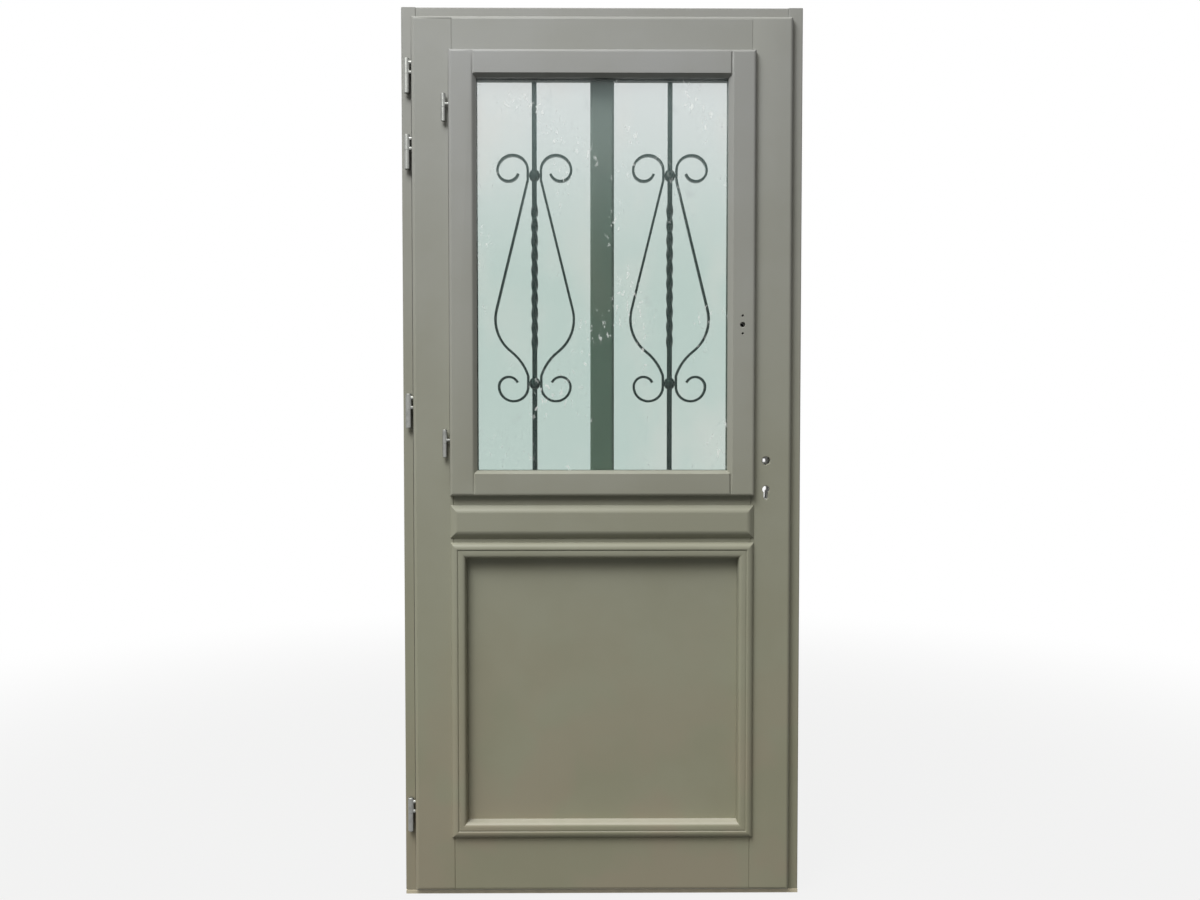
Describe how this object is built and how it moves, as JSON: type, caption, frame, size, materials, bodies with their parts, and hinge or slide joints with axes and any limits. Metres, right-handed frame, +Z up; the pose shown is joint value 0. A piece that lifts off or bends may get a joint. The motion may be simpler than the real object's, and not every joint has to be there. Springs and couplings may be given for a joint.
{
  "type": "glazed front door with frame",
  "caption": "Painted timber front door hung in its rebated frame, with an opening glazed light over scrolled iron bars and a moulded solid panel below.",
  "frame": {"origin": "middle of the threshold's underside, on the floor, halfway across the frame's width and depth", "axes": "+Z up, +X to the lock side as seen from the room, +Y out of the house, the room on the -Y side"},
  "size_m": [0.972, 0.106, 2.171],
  "materials": {
    "frame_paint": "satin paint",
    "leaf_paint": "satin paint",
    "light_paint": "satin paint",
    "mullion_paint": "satin paint",
    "threshold_metal": "anodised",
    "seal_rubber": "matt",
    "hinge_metal": "zinc plated",
    "grille_iron": "satin black",
    "lock_steel": "zinc plated",
    "bolt_metal": "bright",
    "pane_glass": "clear",
    "spacer_metal": "satin"
  },
  "bodies": {
    "frame": {"threshold": "threshold_metal", "jamb_hinge_side": "frame_paint", "jamb_lock_side": "frame_paint", "frame_head": "frame_paint", "frame_seal": "seal_rubber", "lock_keep": "lock_steel", "door_hinge_lower_1": "hinge_metal", "door_hinge_lower_2": "hinge_metal", "door_hinge_lower_3": "hinge_metal", "door_hinge_lower_4": "hinge_metal"},
    "leaf": {"door_hinge_upper_1": "hinge_metal", "door_hinge_upper_2": "hinge_metal", "door_hinge_upper_3": "hinge_metal", "door_hinge_upper_4": "hinge_metal", "leaf_stile_hinge_side": "leaf_paint", "leaf_stile_lock_side": "leaf_paint", "leaf_rail_top": "leaf_paint", "leaf_rail_middle": "leaf_paint", "leaf_rail_bottom": "leaf_paint", "leaf_panel": "leaf_paint", "rail_board": "leaf_paint", "moulding_top": "leaf_paint", "moulding_bottom": "leaf_paint", "moulding_left": "leaf_paint", "moulding_right": "leaf_paint", "mullion": "mullion_paint", "weather_bar": "leaf_paint", "light_seal": "seal_rubber", "lock_case": "lock_steel", "light_keep": "lock_steel", "light_hinge_lower_1": "hinge_metal", "light_hinge_lower_2": "hinge_metal", "grille_bar_left": "grille_iron", "grille_bar_right": "grille_iron", "grille_collar_left_top": "grille_iron", "grille_collar_left_low": "grille_iron", "grille_collar_right_top": "grille_iron", "grille_collar_right_low": "grille_iron", "scroll_left_a": "grille_iron", "scroll_left_b": "grille_iron", "scroll_right_a": "grille_iron", "scroll_right_b": "grille_iron"},
    "light": {"light_stile_hinge_side": "light_paint", "light_stile_lock_side": "light_paint", "light_rail_top": "light_paint", "light_rail_bottom": "light_paint", "glass_inner": "pane_glass", "glass_outer": "pane_glass", "glass_spacer": "spacer_metal", "glazing_beads": "light_paint", "light_lock_case": "lock_steel", "light_hinge_upper_1": "hinge_metal", "light_hinge_upper_2": "hinge_metal"},
    "latch": {"latch_bolt": "bolt_metal"},
    "dead_bolt": {"dead_bolt": "bolt_metal"},
    "lock_follower": {"lock_follower": "lock_steel"},
    "light_bolt": {"light_bolt": "bolt_metal"},
    "light_follower": {"light_follower": "lock_steel"}
  },
  "joints": [
    {"name": "leaf_hinge", "type": "hinge", "parent": "frame", "child": "leaf", "pos_m": [-0.471, -0.045, 1], "axis": [0, 0, -1], "range_deg": [0, 120]},
    {"name": "light_hinge", "type": "hinge", "parent": "leaf", "child": "light", "pos_m": [-0.381, -0.06375, 1.5], "axis": [0, 0, -1], "range_deg": [0, 100]},
    {"name": "latch_slide", "type": "slide", "parent": "leaf", "child": "latch", "axis": [1, 0, 0], "range_m": [0, 0.014]},
    {"name": "follower_turn", "type": "hinge", "parent": "leaf", "child": "lock_follower", "pos_m": [0.399, -0.018, 1.076], "axis": [0, 1, 0], "range_deg": [0, 36]},
    {"name": "dead_bolt_slide", "type": "slide", "parent": "leaf", "child": "dead_bolt", "axis": [1, 0, 0], "range_m": [0, 0.014]},
    {"name": "light_bolt_slide", "type": "slide", "parent": "light", "child": "light_bolt", "axis": [1, 0, 0], "range_m": [0, 0.012]},
    {"name": "light_follower_turn", "type": "hinge", "parent": "light", "child": "light_follower", "pos_m": [0.338, -0.04, 1.405], "axis": [0, 1, 0], "range_deg": [0, 91]}
  ],
  "couplings": [
    {"joint": "follower_turn", "follows": "latch_slide", "rad_per_m": 44},
    {"joint": "light_follower_turn", "follows": "light_bolt_slide", "rad_per_m": 130}
  ]
}
